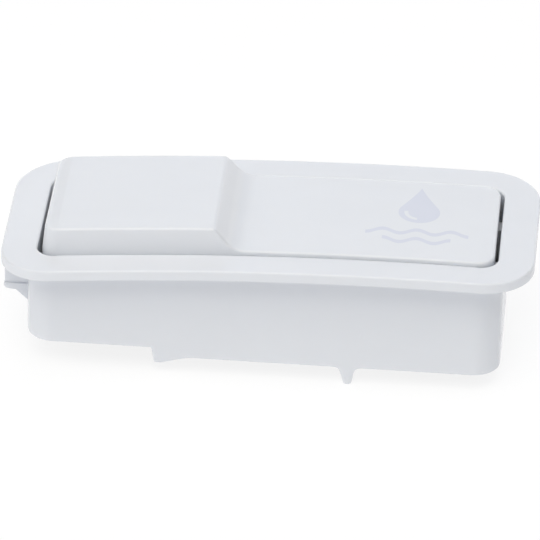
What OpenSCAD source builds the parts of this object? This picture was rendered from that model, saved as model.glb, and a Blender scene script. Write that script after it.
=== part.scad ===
// Rectangular cistern push button: an arched housing that drops into a
// cut-out in a cistern lid, with a rocking push plate hinged at its right end.
// X runs along the button, Y across it, Z up. The origin is the middle of the
// cut-out at the level of the lid, which the flange's underside touches.

/* [Flange] */
// Length of the flange
flange_l = 120; // [110:1:140]
// Width of the flange
flange_w = 50.6; // [49:0.1:60]
// Corner radius of the flange in plan
flange_r = 12; // [7:0.5:16]
// Thickness of the flange
flange_t = 2.5; // [2:0.1:3.2]
// Radius of the flange's arch along X
arch_r = 855; // [700:5:1400]
// Distance of the arch's crown from the middle of the button
crown_x = 32; // [0:1:40]

/* [Housing] */
// Length of the opening in the flange
open_l = 103.6; // [103:0.2:104.6]
// Width of the opening in the flange
open_w = 35.7; // [35.3:0.1:38]
// Corner radius of the opening
open_r = 4.4; // [3:0.2:6]
// Wall thickness of the box
wall = 1.8; // [1.6:0.1:2.4]
// How far the outside of the box sits to the right of the opening's middle
box_x = -0.35; // [-0.6:0.05:0.6]
// Depth of the box below the lid, right part
depth = 24.5; // [22:0.1:30]
// How much less deep the left part of the box is
rim_step = 2.2; // [0.5:0.05:4]
// Where the rim steps
step_x = -25.4; // [-29:0.1:-24]

/* [Rim tabs] */
// Lowest point of the hooked tab below the rim
hook_h = 1.7; // [0.6:0.05:2.5]
// Length of the peg below the rim
peg_h = 4.35; // [2:0.05:6]
// Place of the peg along X
peg_x = 19.2; // [5:0.1:35]

/* [End ledge] */
// Width of the ledge across the left end
ledge_w = 24; // [14:1:26]
// How far the ledge stands out of the end wall
ledge_out = 5.7; // [3:0.1:6]
// Level of the ledge's underside
ledge_z = -13.75; // [-16:0.05:-10]

/* [Push plate] */
// Gap between plate and opening along the long sides
gap_y = 0.65; // [0.5:0.05:1.2]
// Gap at the left end
gap_left = 1.5; // [1.1:0.05:1.9]
// Gap at the hinge end
gap_right = 0.8; // [0.7:0.05:1]
// Height of the plate's flat part above the flange
plate_h = 0.6; // [0:0.05:1]
// Height of the raised pad above the flange
pad_h = 5.95; // [4.8:0.05:6.6]
// Right edge of the pad's top
pad_x = -11.8; // [-14:0.1:-10.6]
// Run of the slope on the pad's right side
ramp_run = 3.6; // [2.5:0.1:4]
// Radius of the cove between the pad and the flat part
cove_r = 6; // [2:0.25:7]
// Thickness of the plate's top
skin = 2; // [1.6:0.1:2.2]
// Thickness of the plate's skirt
skirt_t = 1.6; // [1.2:0.1:2]
// Depth of the skirt below the flange's top surface
skirt_h = 4; // [3.4:0.1:4.4]

/* [Hinge] */
// Place of the hinge pin along X
pin_x = 46.5; // [45:0.1:47]
// Level of the hinge pin
pin_z = -3.2; // [-3.8:0.1:-3]
// Radius of the hinge pin
pin_r = 1.5; // [1.2:0.05:1.6]
// Travel of the plate in degrees, which the rest of the model leaves room for
press_deg = 4.2; // [3.6:0.1:4.2]

/* [Return spring] */
// Place of the spring along X
spring_x = -20; // [-21:0.5:-18]
// Mean radius of the coils
coil_r = 4.1; // [3.8:0.1:4.4]
// Radius of the wire
wire_r = 0.4; // [0.3:0.05:0.5]
// Number of turns
coil_n = 7; // [6:1:8]

/* [Pusher] */
// Place of the pusher along X
rod_x = -38; // [-38.5:0.5:-37.5]
// Radius of the threaded rod
rod_r = 3; // [2.6:0.1:3]
// Distance across the rod's two flats
rod_flat = 4.8; // [4.2:0.1:5.2]
// Radius of the adjusting wheel
wheel_r = 7; // [6:0.25:7]
// Number of grooves in the wheel's rim
wheel_n = 24; // [16:1:28]
// Length of the rod
rod_len = 19.5; // [17:0.5:20]

/* [Hidden] */
$fn = 48;

// Arch: the top of the flange at x, with its underside at zero where x is zero.
arch_zc = flange_t - sqrt(arch_r * arch_r - crown_x * crown_x);
function top_z(x) = arch_zc + sqrt(arch_r * arch_r - pow(x - crown_x, 2));

// Box outside and inside
box_l = open_l + 2 * wall;
box_w = open_w + 2 * wall;
box_r = open_r + wall;

// Plate outline
pl_x0 = -open_l / 2 + gap_left;
pl_x1 = open_l / 2 - gap_right;
pl_l = pl_x1 - pl_x0;
pl_w = open_w - 2 * gap_y;
pl_cx = (pl_x0 + pl_x1) / 2;
pl_r = open_r - gap_y;

// Ramp and cove on the pad's right side, as points in XZ
ramp_a = [pad_x, top_z(pad_x) + pad_h];
ramp_b = [pad_x + ramp_run, top_z(pad_x + ramp_run) + plate_h + 1];
ramp_len = norm(ramp_b - ramp_a);
ramp_d = (ramp_b - ramp_a) / ramp_len;
ramp_n = [-ramp_d[1], ramp_d[0]];
// The cove touches the slope's line and runs out level with the flat part's arch
arch_c = [crown_x, arch_zc];
cove_p = ramp_a + cove_r * ramp_n - arch_c;
cove_b = cove_p * ramp_d;
cove_q = arch_r + plate_h + cove_r - 0.03;
cove_s = -cove_b - sqrt(cove_b * cove_b - cove_p * cove_p + cove_q * cove_q);
cove_c = arch_c + cove_p + cove_s * ramp_d;
cove_a0 = atan2(ramp_n[1], ramp_n[0]) + 180;
cove_a1 = atan2(arch_c[1] - cove_c[1], arch_c[0] - cove_c[0]) + 360;
cove_n = 12;

// Levels of the spring bridge
br_top = -12;
br_t = 2;
br_x0 = -28;
br_x1 = -5;
screw_x = -18;
screw_y = open_w / 2 - 3;

// Catch arms
arm_x = -9.6;
arm_t = 1.6;
arm_y = 9;
arm_w = 5;
buffer_t = 1.2;
barb_top = br_top - br_t - buffer_t - 0.05;

// Yoke around the adjusting wheel
yk_top = -3.2;
wheel_h = 4.5;
wheel_z = yk_top - 0.25 - wheel_h;
yk_low = wheel_z - 0.25;
yk_t = 2.2;
rod_top = 1;

// Hinge ears
saddle_y = 7;
saddle_t = 3.6;
ear_y = 11.1;
ear_t = 3;
ear_r = 3.2;

spr_z0 = br_top;
spr_z1 = 1.5;

// Rectangle with round corners
module rrect(l, w, r) {
    square([l - 2 * r, w], center = true);
    square([l, w - 2 * r], center = true);
    for (sx = [-1, 1], sy = [-1, 1])
        translate([sx * (l / 2 - r), sy * (w / 2 - r)]) circle(r);
}

// Upright prism of a rounded rectangle between two levels
module prism(l, w, r, z0, z1) {
    translate([0, 0, z0]) linear_extrude(z1 - z0) rrect(l, w, r);
}

// Everything below the arched surface at height dz over the flange's top
module under_arch(dz) {
    translate([crown_x, 0, arch_zc]) rotate([90, 0, 0])
        cylinder(r = arch_r + dz, h = 80, center = true, $fn = 900);
}

// A flat shape drawn in XZ, extruded along Y from y0 to y1
module slab(y0, y1) {
    translate([0, y1, 0]) rotate([90, 0, 0]) linear_extrude(y1 - y0) children();
}

module block(x0, x1, y0, y1, z0, z1) {
    translate([x0, y0, z0]) cube([x1 - x0, y1 - y0, z1 - z0]);
}

// Hooked tab and peg that stand below the rim of a long wall
module rim_tabs(y0, y1) {
    z = -depth;
    slab(y0, y1) polygon([
        [step_x + 0.05, z + 2.2], [step_x + 0.55, z - 0.3],
        [step_x + 0.75, z - hook_h + 0.3], [step_x + 1.15, z - hook_h],
        [step_x + 2.7, z - hook_h + 0.08], [step_x + 5.3, z - 0.8],
        [step_x + 6.9, z - 0.4], [step_x + 8.2, z - 0.1],
        [step_x + 9.6, z + 0.02], [step_x + 9.6, z + 2.2]]);
    slab(y0, y1) polygon([
        [peg_x - 3, z + 0.3], [peg_x - 3, z], [peg_x - 2.2, z - 0.35],
        [peg_x - 1.75, z - 1.1], [peg_x - 1.15, z - peg_h + 0.8],
        [peg_x - 0.6, z - peg_h + 0.15], [peg_x, z - peg_h],
        [peg_x + 0.6, z - peg_h + 0.15], [peg_x + 1.0, z - peg_h + 0.8],
        [peg_x + 1.35, z - 1.1], [peg_x + 1.8, z - 0.35],
        [peg_x + 2.8, z], [peg_x + 2.8, z + 0.3]]);
}

// Ledge across the left end, with webs above it and gussets below
module end_ledge() {
    x0 = box_x - box_l / 2 - ledge_out;
    x1 = box_x - box_l / 2 + 0.6;
    slab(-ledge_w / 2, ledge_w / 2) polygon([
        [x0 + 0.25, ledge_z + 1.6], [x0, ledge_z + 1.35], [x0, ledge_z + 0.9],
        [x0 + 0.5, ledge_z + 0.25], [x0 + 1.6, ledge_z], [x1, ledge_z],
        [x1, ledge_z + 1.6]]);
    for (s = [-1, 1]) {
        y = s * (ledge_w / 2 - 1.2);
        slab(y - 0.8, y + 0.8) polygon([
            [x0 + 0.2, ledge_z + 1], [x0 + 0.2, top_z(x0) - flange_t + 0.6],
            [x1, top_z(x1) - flange_t + 0.6], [x1, ledge_z + 1]]);
        slab(y - 0.8, y + 0.8) polygon([
            [x0 + 2.5, ledge_z + 0.4], [x0 + 2.5, ledge_z - 0.15],
            [x1 - 0.6, ledge_z - 3.1], [x1, ledge_z - 3.1], [x1, ledge_z + 0.4]]);
    }
}

// Snap-in bearing for the hinge pin, carried by the right end wall
module saddle(y0) {
    xw = open_l / 2 + 0.4;
    difference() {
        slab(y0, y0 + saddle_t) {
            translate([pin_x, pin_z]) circle(3.2);
            polygon([[pin_x, pin_z - 3.2], [pin_x, pin_z + 1.3],
                     [xw, pin_z + 1.3], [xw, pin_z - 9], [pin_x + 2, pin_z - 3.2]]);
        }
        slab(y0 - 1, y0 + saddle_t + 1) translate([pin_x, pin_z]) circle(pin_r + 0.05);
        block(pin_x - pin_r + 0.25, pin_x + pin_r - 0.25, y0 - 1, y0 + saddle_t + 1,
              pin_z - 5, pin_z);
        slab(y0 - 1, y0 + saddle_t + 1) polygon([
            [pin_x - pin_r + 0.25, pin_z - 2.2], [pin_x - pin_r - 0.6, pin_z - 3.8],
            [pin_x + pin_r + 0.6, pin_z - 3.8], [pin_x + pin_r - 0.25, pin_z - 2.2]]);
    }
}

// Pillar on a long wall that the spring bridge is screwed to
module screw_pillar(s) {
    difference() {
        union() {
            translate([screw_x, s * screw_y, br_top]) cylinder(r = 3, h = 4);
            block(screw_x - 3, screw_x + 3, min(s * screw_y, s * (open_w / 2 + 0.3)),
                  max(s * screw_y, s * (open_w / 2 + 0.3)), br_top, br_top + 4);
        }
        translate([screw_x, s * screw_y, br_top - 1]) cylinder(r = 1.25, h = 4.4);
    }
}

module housing() color([0.93, 0.94, 0.95]) {
    difference() {
        intersection() {
            prism(flange_l, flange_w, flange_r, -depth, 8);
            under_arch(0);
        }
        difference() {
            under_arch(-flange_t);
            translate([box_x, 0, 0]) prism(box_l, box_w, box_r, -depth - 1, 9);
        }
        prism(open_l, open_w, open_r, -depth - 1, 9);
        block(-60, step_x, -30, 30, -depth - 1, -depth + rim_step);
    }
    for (s = [-1, 1]) {
        rim_tabs(min(s * open_w / 2, s * box_w / 2), max(s * open_w / 2, s * box_w / 2));
        screw_pillar(s);
        // lugs that the spring bridge is pushed up against
        for (x = [-25.5, -8.5])
            block(x - 1.5, x + 1.5, min(s * (open_w / 2 - 1.2), s * (open_w / 2 + 0.3)),
                  max(s * (open_w / 2 - 1.2), s * (open_w / 2 + 0.3)), br_top, br_top + 1.5);
    }
    end_ledge();
    saddle(saddle_y);
    saddle(-saddle_y - saddle_t);
}

// Plate outline, inset by d, as an upright prism
module plate_prism(d, z0, z1) {
    translate([pl_cx, 0, 0]) prism(pl_l - 2 * d, pl_w - 2 * d, max(pl_r - d, 0.6), z0, z1);
}

// Side view of the pad: top left open, slope and cove on its right
module pad_wedge() {
    polygon(concat(
        [[-60, -12], [-60, 14], ramp_a - ramp_d * 8],
        [for (i = [0:cove_n]) let (a = cove_a0 + (cove_a1 - cove_a0) * i / cove_n)
            cove_c + cove_r * [cos(a), sin(a)]],
        [[cove_c[0] + cove_r * cos(cove_a1), -12]]));
}

// Hinge ear with the pin's bore
module ear(y0) {
    difference() {
        slab(y0, y0 + ear_t) {
            translate([pin_x, pin_z]) circle(ear_r);
            polygon([[pin_x - ear_r, pin_z], [pin_x - ear_r - 1.6, 2.4],
                     [pin_x + 3.2, 2.4], [pin_x + ear_r, pin_z]]);
        }
        slab(y0 - 1, y0 + ear_t + 1) translate([pin_x, pin_z]) circle(pin_r + 0.01);
    }
}

// Round hole with two flats for the pusher rod
module rod_shape(c) {
    intersection() {
        circle(rod_r + c);
        square([4 * rod_r, rod_flat + 2 * c], center = true);
    }
}

// Yoke that holds the adjusting wheel under the pad
module yoke() {
    zt = top_z(rod_x) + pad_h - skin + 0.5;
    xw = rod_x - wheel_r - 0.7;
    difference() {
        union() {
            translate([rod_x, 0, yk_top]) cylinder(r = 5.4, h = zt - yk_top);
            block(xw - 1.6, rod_x, -4, 4, yk_top, yk_top + 1.8);
            block(xw - 1.6, xw, -6, 6, yk_low - yk_t, zt - 0.4);
            block(xw - 1.6, rod_x, -5, 5, yk_low - yk_t, yk_low);
            translate([rod_x, 0, yk_low - yk_t]) cylinder(r = 5, h = yk_t);
        }
        translate([rod_x, 0, yk_low - yk_t - 1])
            linear_extrude(zt - 0.6 - (yk_low - yk_t - 1)) rod_shape(0.08);
    }
}

// Catch arm whose barb holds the plate down against the buffer
module catch_arm(s) {
    y = s * arm_y;
    zt = top_z(arm_x) + plate_h - 0.5;
    slab(y - arm_w / 2, y + arm_w / 2) polygon([
        [arm_x, zt - 1.2], [arm_x - 0.8, zt - 1.2], [arm_x, zt - 3.4],
        [arm_x, barb_top], [arm_x - 1.8, barb_top], [arm_x - 1.8, barb_top - 0.5],
        [arm_x - 0.1, barb_top - 2.1], [arm_x + arm_t, barb_top - 2.1],
        [arm_x + arm_t, zt - 3.4], [arm_x + arm_t + 0.8, zt - 1.2]]);
}

module push_plate() color([0.95, 0.95, 0.96]) {
    difference() {
        union() {
            intersection() {
                plate_prism(0, -9, 12);
                under_arch(plate_h);
            }
            intersection() {
                plate_prism(0, -9, 12);
                under_arch(pad_h);
                slab(-30, 30) pad_wedge();
            }
        }
        under_arch(-skirt_h);
        intersection() {
            plate_prism(skirt_t, -10, 10);
            under_arch(plate_h - skin);
        }
        intersection() {
            plate_prism(skirt_t + 0.3, -10, 12);
            under_arch(pad_h - skin);
            block(-60, pad_x - 2.2, -30, 30, -12, 14);
        }
    }
    // stiffening ribs under the flat part
    difference() {
        union() {
            for (y = [-5.5, 5.5]) block(pad_x - 0.5, 42, y - 0.7, y + 0.7, -4, 2.6);
            for (x = [4, 17, 30]) block(x - 0.7, x + 0.7, -pl_w / 2 + 1, pl_w / 2 - 1, -4, 2.6);
        }
        under_arch(-skirt_h + 0.6);
    }
    // ribs under the pad
    difference() {
        for (y = [-7.8, 7.8]) block(pl_x0 + 1, pad_x - 0.8, y - 0.7, y + 0.7, -4, top_z(pl_x0 + 1) + pad_h - skin + 0.4);
        under_arch(-skirt_h + 0.6);
    }
    // seat and spigot of the return spring
    translate([spring_x, 0, spr_z1]) cylinder(r = 5.6, h = top_z(spring_x) + pad_h - skin + 0.4 - spr_z1);
    translate([spring_x, 0, spr_z1 - 3]) cylinder(r = coil_r - wire_r - 0.4, h = 3.2);
    // posts that stop the plate on the bridge when it is pressed
    for (s = [-1, 1])
        block(-26.6, -24.6, s * 11 - 1.5, s * 11 + 1.5, -6.4, top_z(-26.6) + pad_h - skin + 0.3);
    // lip on the hinge end
    block(pl_x1 - 0.6, pl_x1 + 0.42, -5, 5, -0.8, 1.4);
    ear(ear_y);
    ear(-ear_y - ear_t);
    yoke();
    catch_arm(1);
    catch_arm(-1);
}

module hinge_pin() color([0.72, 0.73, 0.75]) {
    l = 2 * (ear_y + ear_t) - 0.4;
    translate([pin_x, l / 2, pin_z]) rotate([90, 0, 0]) {
        translate([0, 0, 0.3]) cylinder(r = pin_r, h = l - 0.6);
        cylinder(r1 = pin_r - 0.3, r2 = pin_r, h = 0.3);
        translate([0, 0, l - 0.3]) cylinder(r1 = pin_r, r2 = pin_r - 0.3, h = 0.3);
    }
}

module spring_bridge() color([0.82, 0.84, 0.86]) {
    y = open_w / 2 - 0.25;
    difference() {
        union() {
            block(br_x0, br_x1, -y, y, br_top - br_t, br_top);
            // stiffening ribs along both edges
            for (x = [br_x0, br_x1 - 1.4])
                block(x, x + 1.4, -y + 3.2, y - 3.2, br_top - br_t - 2.6, br_top);
            // seat of the spring
            translate([spring_x, 0, br_top]) cylinder(r = coil_r - wire_r - 0.35, h = 2.2);
            for (s = [-1, 1])
                translate([screw_x, s * screw_y, br_top - br_t - 0.6]) cylinder(r = 3.4, h = 1);
        }
        // windows for the catch arms
        for (s = [-1, 1])
            block(arm_x - 0.5, arm_x + arm_t + 1.9, s * arm_y - arm_w / 2 - 0.5,
                  s * arm_y + arm_w / 2 + 0.5, br_top - br_t - 4, br_top + 1);
        for (s = [-1, 1])
            translate([screw_x, s * screw_y, br_top - 5]) cylinder(r = 1.6, h = 6);
        // drain hole through the seat
        translate([spring_x, 0, br_top - 5]) cylinder(r = 1.5, h = 9);
        // room beside the wall lugs
        for (s = [-1, 1])
            block(br_x0 - 1, br_x1 + 1, min(s * y, s * (y + 3)), max(s * y, s * (y + 3)), br_top - 6, br_top + 1);
    }
}

module bridge_screw(s) color([0.66, 0.67, 0.7]) {
    zh = br_top - br_t - 0.6;
    translate([screw_x, s * screw_y, 0]) difference() {
        union() {
            translate([0, 0, zh - 0.9]) cylinder(r = 2.8, h = 0.9);
            translate([0, 0, zh - 1.8]) cylinder(r1 = 2.1, r2 = 2.8, h = 0.9);
            translate([0, 0, zh]) cylinder(r = 1.45, h = 4.6);
            translate([0, 0, zh + 4.6]) cylinder(r1 = 1.45, r2 = 0.5, h = 1);
        }
        for (a = [0, 90]) rotate(a) translate([-1.6, -0.3, zh - 2]) cube([3.2, 0.6, 1.2]);
    }
}
module bridge_screw_front() bridge_screw(-1);
module bridge_screw_rear() bridge_screw(1);

module stop_buffer(s) color([0.2, 0.2, 0.21]) {
    block(arm_x - 5.2, arm_x - 0.55, s * arm_y - 2.6, s * arm_y + 2.6,
          br_top - br_t - buffer_t, br_top - br_t);
}
module stop_buffer_front() stop_buffer(-1);
module stop_buffer_rear() stop_buffer(1);

// Wire of round section along a helix with closed end turns
spr_seg = 18;
spr_side = 6;
spr_lo = spr_z0 + wire_r + 0.02;
spr_hi = spr_z1 - wire_r - 0.02;
spr_end = 2 * wire_r + 0.1;
function spr_z(t) =
    t <= 1 ? spr_lo + spr_end * t
    : t >= coil_n - 1 ? spr_hi - spr_end * (coil_n - t)
    : spr_lo + spr_end + (spr_hi - spr_lo - 2 * spr_end) * (t - 1) / (coil_n - 2);
module return_spring() color([0.7, 0.71, 0.73]) {
    n = coil_n * spr_seg;
    pts = [for (i = [0:n]) let (t = i / spr_seg, a = 360 * t)
        for (j = [0:spr_side - 1]) let (b = 360 * j / spr_side)
            [spring_x + (coil_r + wire_r * cos(b)) * cos(a),
             (coil_r + wire_r * cos(b)) * sin(a),
             spr_z(t) + wire_r * sin(b)]];
    faces = concat(
        [[for (j = [0:spr_side - 1]) j]],
        [for (i = [0:n - 1], j = [0:spr_side - 1]) let (k = (j + 1) % spr_side)
            [i * spr_side + j, (i + 1) * spr_side + j, (i + 1) * spr_side + k, i * spr_side + k]],
        [[for (j = [spr_side - 1:-1:0]) n * spr_side + j]]);
    polyhedron(points = pts, faces = faces, convexity = 12);
}

module adjusting_wheel() color([0.86, 0.87, 0.88]) {
    translate([rod_x, 0, wheel_z]) difference() {
        cylinder(r = wheel_r, h = wheel_h);
        translate([0, 0, -1]) cylinder(r = rod_r + 0.06, h = wheel_h + 2);
        for (i = [0:wheel_n - 1]) rotate(i * 360 / wheel_n)
            translate([wheel_r + 0.12, 0, -1]) cylinder(r = 0.5, h = wheel_h + 2, $fn = 16);
    }
}

module pusher_rod() color([0.86, 0.87, 0.88]) {
    translate([rod_x, 0, rod_top - rod_len]) linear_extrude(rod_len) rod_shape(0);
}

module pusher_tip() color([0.2, 0.2, 0.21]) {
    z0 = rod_top - rod_len;
    translate([rod_x, 0, z0 - 2]) difference() {
        union() {
            cylinder(r1 = 3.4, r2 = 4.2, h = 0.8);
            translate([0, 0, 0.8]) cylinder(r = 4.2, h = 3.4);
            translate([0, 0, 4.2]) cylinder(r1 = 4.2, r2 = 3.6, h = 0.6);
        }
        translate([0, 0, 2]) linear_extrude(4) rod_shape(0.01);
    }
}

housing();
push_plate();
hinge_pin();
spring_bridge();
bridge_screw_front();
bridge_screw_rear();
stop_buffer_front();
stop_buffer_rear();
return_spring();
adjusting_wheel();
pusher_rod();
pusher_tip();
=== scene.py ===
import math

import bmesh
import bpy
import numpy as np
from mathutils import Matrix, Vector


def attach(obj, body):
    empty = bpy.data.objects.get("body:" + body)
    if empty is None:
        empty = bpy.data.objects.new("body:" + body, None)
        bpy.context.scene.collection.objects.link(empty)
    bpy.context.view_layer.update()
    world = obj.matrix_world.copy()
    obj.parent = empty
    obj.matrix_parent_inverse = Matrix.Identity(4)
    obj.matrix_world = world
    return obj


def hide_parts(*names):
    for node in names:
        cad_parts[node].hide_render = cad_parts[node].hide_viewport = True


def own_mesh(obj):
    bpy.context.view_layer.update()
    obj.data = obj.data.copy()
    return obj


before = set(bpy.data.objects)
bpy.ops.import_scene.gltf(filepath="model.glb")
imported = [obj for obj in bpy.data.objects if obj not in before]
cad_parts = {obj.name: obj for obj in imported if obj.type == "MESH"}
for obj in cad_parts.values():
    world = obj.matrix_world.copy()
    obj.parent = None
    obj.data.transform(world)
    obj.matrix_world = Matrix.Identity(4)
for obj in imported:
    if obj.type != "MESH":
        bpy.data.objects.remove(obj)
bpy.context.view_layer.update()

MM = 0.001

# ---------------------------------------------------------------- sizes, in mm
FL, FW, FR, FT = 120.0, 50.6, 12.0, 2.5        # flange
OL, OW, ORAD = 103.6, 35.7, 4.4                # opening
WALL = 1.8
BL, BW, BR = OL + 2 * WALL, OW + 2 * WALL, ORAD + WALL
BOX_X = -0.35                                  # the box's outside sits this far right of the opening's middle
RIM_R, RIM_L, STEP_X = -24.5, -22.3, -25.4
HOOK_H, PEG_H, PEG_X = 1.7, 4.35, 19.2
LEDGE_OUT, LEDGE_Z = 5.7, -13.75
PL0, PL1, PW, PR = -50.7, 51.0, 34.4, 3.75     # push plate
PAD_X, PAD_H, FLAT_H, SKIRT = -11.8, 5.95, 0.6, 4.0
RAMP_RUN, COVE_R = 3.6, 6.0
PIN_X, PIN_Z = 46.5, -3.2
SPRING_X = -20.0
ROD_X = -38.0
ARCH_R, CROWN = 855.0, 32.0
ARCH_C = FT - math.sqrt(ARCH_R ** 2 - CROWN ** 2)


def top(x):
    """Height of the arched top of the flange."""
    return ARCH_C + np.sqrt(ARCH_R ** 2 - (np.asarray(x, float) - CROWN) ** 2)


# ---------------------------------------------------------------- mesh making
class Build:
    """Closed shells gathered into one mesh, in mm."""

    def __init__(self):
        self.v, self.f = [], []

    def add(self, shell):
        v, f = shell
        n = len(self.v)
        self.v += [tuple(float(c) for c in p) for p in v]
        self.f += [tuple(i + n for i in q) for q in f]
        return self

    def make(self, name, body, slot, material, nodes=(), sharp=32):
        me = bpy.data.meshes.new(name)
        me.from_pydata([(x * MM, y * MM, z * MM) for x, y, z in self.v], [], self.f)
        me.validate()
        bm = bmesh.new()
        bm.from_mesh(me)
        bmesh.ops.recalc_face_normals(bm, faces=bm.faces)
        bm.to_mesh(me)
        bm.free()
        for p in me.polygons:
            p.use_smooth = True
        me.set_sharp_from_angle(angle=math.radians(sharp))
        ob = bpy.data.objects.new(name, me)
        bpy.context.scene.collection.objects.link(ob)
        w = ob.modifiers.new("normals", "WEIGHTED_NORMAL")
        w.mode = "FACE_AREA"
        w.keep_sharp = True
        me.materials.append(material)
        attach(ob, body)
        if nodes:
            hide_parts(*nodes)
        return ob


def shell_of(bm):
    bm.verts.index_update()
    v = [tuple(p.co) for p in bm.verts]
    f = [tuple(q.index for q in p.verts) for p in bm.faces]
    bm.free()
    return v, f


def extruded(poly, axis, a, b, bevel=0.15, seg=2, limit=30):
    """Polygon extruded along axis from a to b, with its sharp edges rounded. y: poly is (x, z); z: poly is (x, y); x: poly is (y, z)."""
    put = {"y": lambda p, t: (p[0], t, p[1]), "z": lambda p, t: (p[0], p[1], t), "x": lambda p, t: (t, p[0], p[1])}[axis]
    bm = bmesh.new()
    lo = [bm.verts.new(put(p, a)) for p in poly]
    hi = [bm.verts.new(put(p, b)) for p in poly]
    n = len(poly)
    bm.faces.new(lo)
    bm.faces.new(hi[::-1])
    for i in range(n):
        bm.faces.new((lo[i], hi[i], hi[(i + 1) % n], lo[(i + 1) % n]))
    bmesh.ops.recalc_face_normals(bm, faces=bm.faces)
    if bevel:
        edges = [e for e in bm.edges if e.calc_face_angle(0) > math.radians(limit)]
        bmesh.ops.bevel(bm, geom=edges, offset=bevel, segments=seg, profile=0.5, affect="EDGES", clamp_overlap=True)
    return shell_of(bm)


def block(x0, x1, y0, y1, z0, z1, bevel=0.15):
    return extruded([(x0, y0), (x1, y0), (x1, y1), (x0, y1)], "z", z0, z1, bevel)


def ring_loft(rings, closed=False, caps=False):
    """Quads between rings of equal length. closed joins the last to the first, caps fills both ends."""
    n = len(rings[0])
    v = np.concatenate([np.asarray(r, float) for r in rings])
    f = []
    last = len(rings) if closed else len(rings) - 1
    for k in range(last):
        a, b = k * n, ((k + 1) % len(rings)) * n
        for i in range(n):
            j = (i + 1) % n
            f.append((a + i, a + j, b + j, b + i))
    if caps:
        f.append(tuple(range(n))[::-1])
        f.append(tuple((len(rings) - 1) * n + i for i in range(n)))
    return [tuple(p) for p in v], f


def lathe(profile, cx, cy, n=64, z=0.0, axis="z", closed=False):
    """Profile of (r, z) points turned about an axis. The end points that lie on the axis become single vertices."""
    rings = []
    for r, h in profile:
        rings.append([(r * math.cos(2 * math.pi * i / n), r * math.sin(2 * math.pi * i / n), h + z) for i in range(n)])
    v, f = [], []
    start = []
    for k, (r, h) in enumerate(profile):
        if r < 1e-9:
            start.append((len(v), 1))
            v.append((0.0, 0.0, h + z))
        else:
            start.append((len(v), n))
            v += rings[k]
    m = len(profile)
    for k in range(m if closed else m - 1):
        (a, na), (b, nb) = start[k], start[(k + 1) % m]
        for i in range(n):
            j = (i + 1) % n
            if na == 1:
                f.append((a, b + j, b + i))
            elif nb == 1:
                f.append((a + i, a + j, b))
            else:
                f.append((a + i, a + j, b + j, b + i))
    if axis == "y":
        v = [(p[0] + cx, p[2], p[1] + cy) for p in v]
    else:
        v = [(p[0] + cx, p[1] + cy, p[2]) for p in v]
    return v, f


def annular(outer, inner, axis, a, b, ch=0.15):
    """Ring-shaped prism between two outlines of equal length, with small chamfers."""
    outer, inner = np.asarray(outer, float), np.asarray(inner, float)
    c = inner.mean(0)

    def grow(p, d):
        q = p - c
        return c + q * (1 + d / np.linalg.norm(q, axis=1, keepdims=True))

    s = 1 if b > a else -1
    order = [(grow(outer, -ch), a), (outer, a + s * ch), (outer, b - s * ch), (grow(outer, -ch), b),
             (grow(inner, ch), b), (inner, b - s * ch), (inner, a + s * ch), (grow(inner, ch), a)]
    rings = []
    for pts, t in order:
        if axis == "z":
            rings.append([(p[0], p[1], t) for p in pts])
        else:
            rings.append([(p[0], t, p[1]) for p in pts])
    return ring_loft(rings, closed=True)


# ---------------------------------------------------------------- outlines
NC, NY = 12, 16


class Outline:
    """Rounded rectangle as a ring of points with outward normals. u are the samples along the long sides, from -1 to 1."""

    def __init__(self, length, width, r, cx, u):
        hx, hy = length / 2 - r, width / 2 - r
        p, n = [], []

        def arc(sx, sy, a0):
            for k in range(1, NC):
                a = math.radians(a0 + 90 * k / NC)
                p.append((cx + sx * hx + r * math.cos(a), sy * hy + r * math.sin(a)))
                n.append((math.cos(a), math.sin(a)))

        def side(points, normal):
            for q in points:
                p.append(q)
                n.append(normal)

        side([(cx + hx * t, -width / 2) for t in u], (0, -1))
        arc(1, -1, -90)
        side([(cx + length / 2, -hy + 2 * hy * j / NY) for j in range(NY + 1)], (1, 0))
        arc(1, 1, 0)
        side([(cx + hx * t, width / 2) for t in u[::-1]], (0, 1))
        arc(-1, 1, 90)
        side([(cx - length / 2, hy - 2 * hy * j / NY) for j in range(NY + 1)], (-1, 0))
        arc(-1, -1, 180)
        self.p, self.n, self.m = np.array(p), np.array(n), len(u)

    def at(self, inset):
        """The outline moved inwards by inset, which may differ from point to point."""
        d = np.broadcast_to(np.asarray(inset, float), (len(self.p),))
        return self.p - self.n * d[:, None]


def columns(m):
    """The ring's points as pairs (front, back) from left to right, with the two end columns whole."""
    fr, rs = m, m + NC - 1
    br = rs + NY + 1
    bk = br + NC - 1
    bl = bk + m
    ls = bl + NC - 1
    fl = ls + NY + 1
    pairs = [(fl + c - 1, bl + NC - 1 - c) for c in range(1, NC)]
    pairs += [(i, bk + m - 1 - i) for i in range(m)]
    pairs += [(fr + c - 1, br + NC - 1 - c) for c in range(1, NC)]
    left = [ls + NY - j for j in range(NY + 1)]
    right = [rs + j for j in range(NY + 1)]
    return left, pairs, right


def cap(ring, base, m, count):
    """Fills a ring whose first point has index base. count is how many vertices exist so far. Returns new vertices and faces."""
    left, pairs, right = columns(m)
    v, f = [], []
    cols = [[base + i for i in left]]
    for a, b in pairs:
        pa, pb = np.asarray(ring[a], float), np.asarray(ring[b], float)
        col = [base + a]
        for j in range(1, NY):
            col.append(count + len(v))
            v.append(tuple(pa + (pb - pa) * j / NY))
        col.append(base + b)
        cols.append(col)
    cols.append([base + i for i in right])
    for c0, c1 in zip(cols, cols[1:]):
        for j in range(NY):
            f.append((c0[j], c1[j], c1[j + 1], c0[j + 1]))
    return v, f


def ring3(xy, z):
    z = np.broadcast_to(np.asarray(z, float), (len(xy),))
    return np.column_stack([xy, z])


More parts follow.
